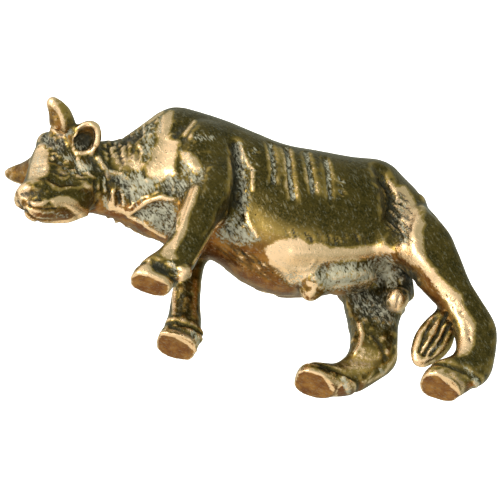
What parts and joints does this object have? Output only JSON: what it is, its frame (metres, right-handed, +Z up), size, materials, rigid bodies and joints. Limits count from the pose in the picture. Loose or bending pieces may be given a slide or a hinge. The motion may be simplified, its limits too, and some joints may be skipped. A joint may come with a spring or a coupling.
{
  "type": "bull figurine",
  "caption": "Small solid brass figurine of a walking bull with lowered, turned head, short horns and a hanging tail tuft, standing on flat soles.",
  "frame": {"origin": "on the standing plane, under the middle of the bounding box", "axes": "-X towards the head, +X towards the rump, -Y the bull's left side, +Z up"},
  "size_m": [0.063, 0.016, 0.0303],
  "materials": {
    "brass": "olive-brown patina, rubbed bright on the raised places"
  },
  "bodies": {
    "root": {"bull": "brass"}
  },
  "joints": []
}
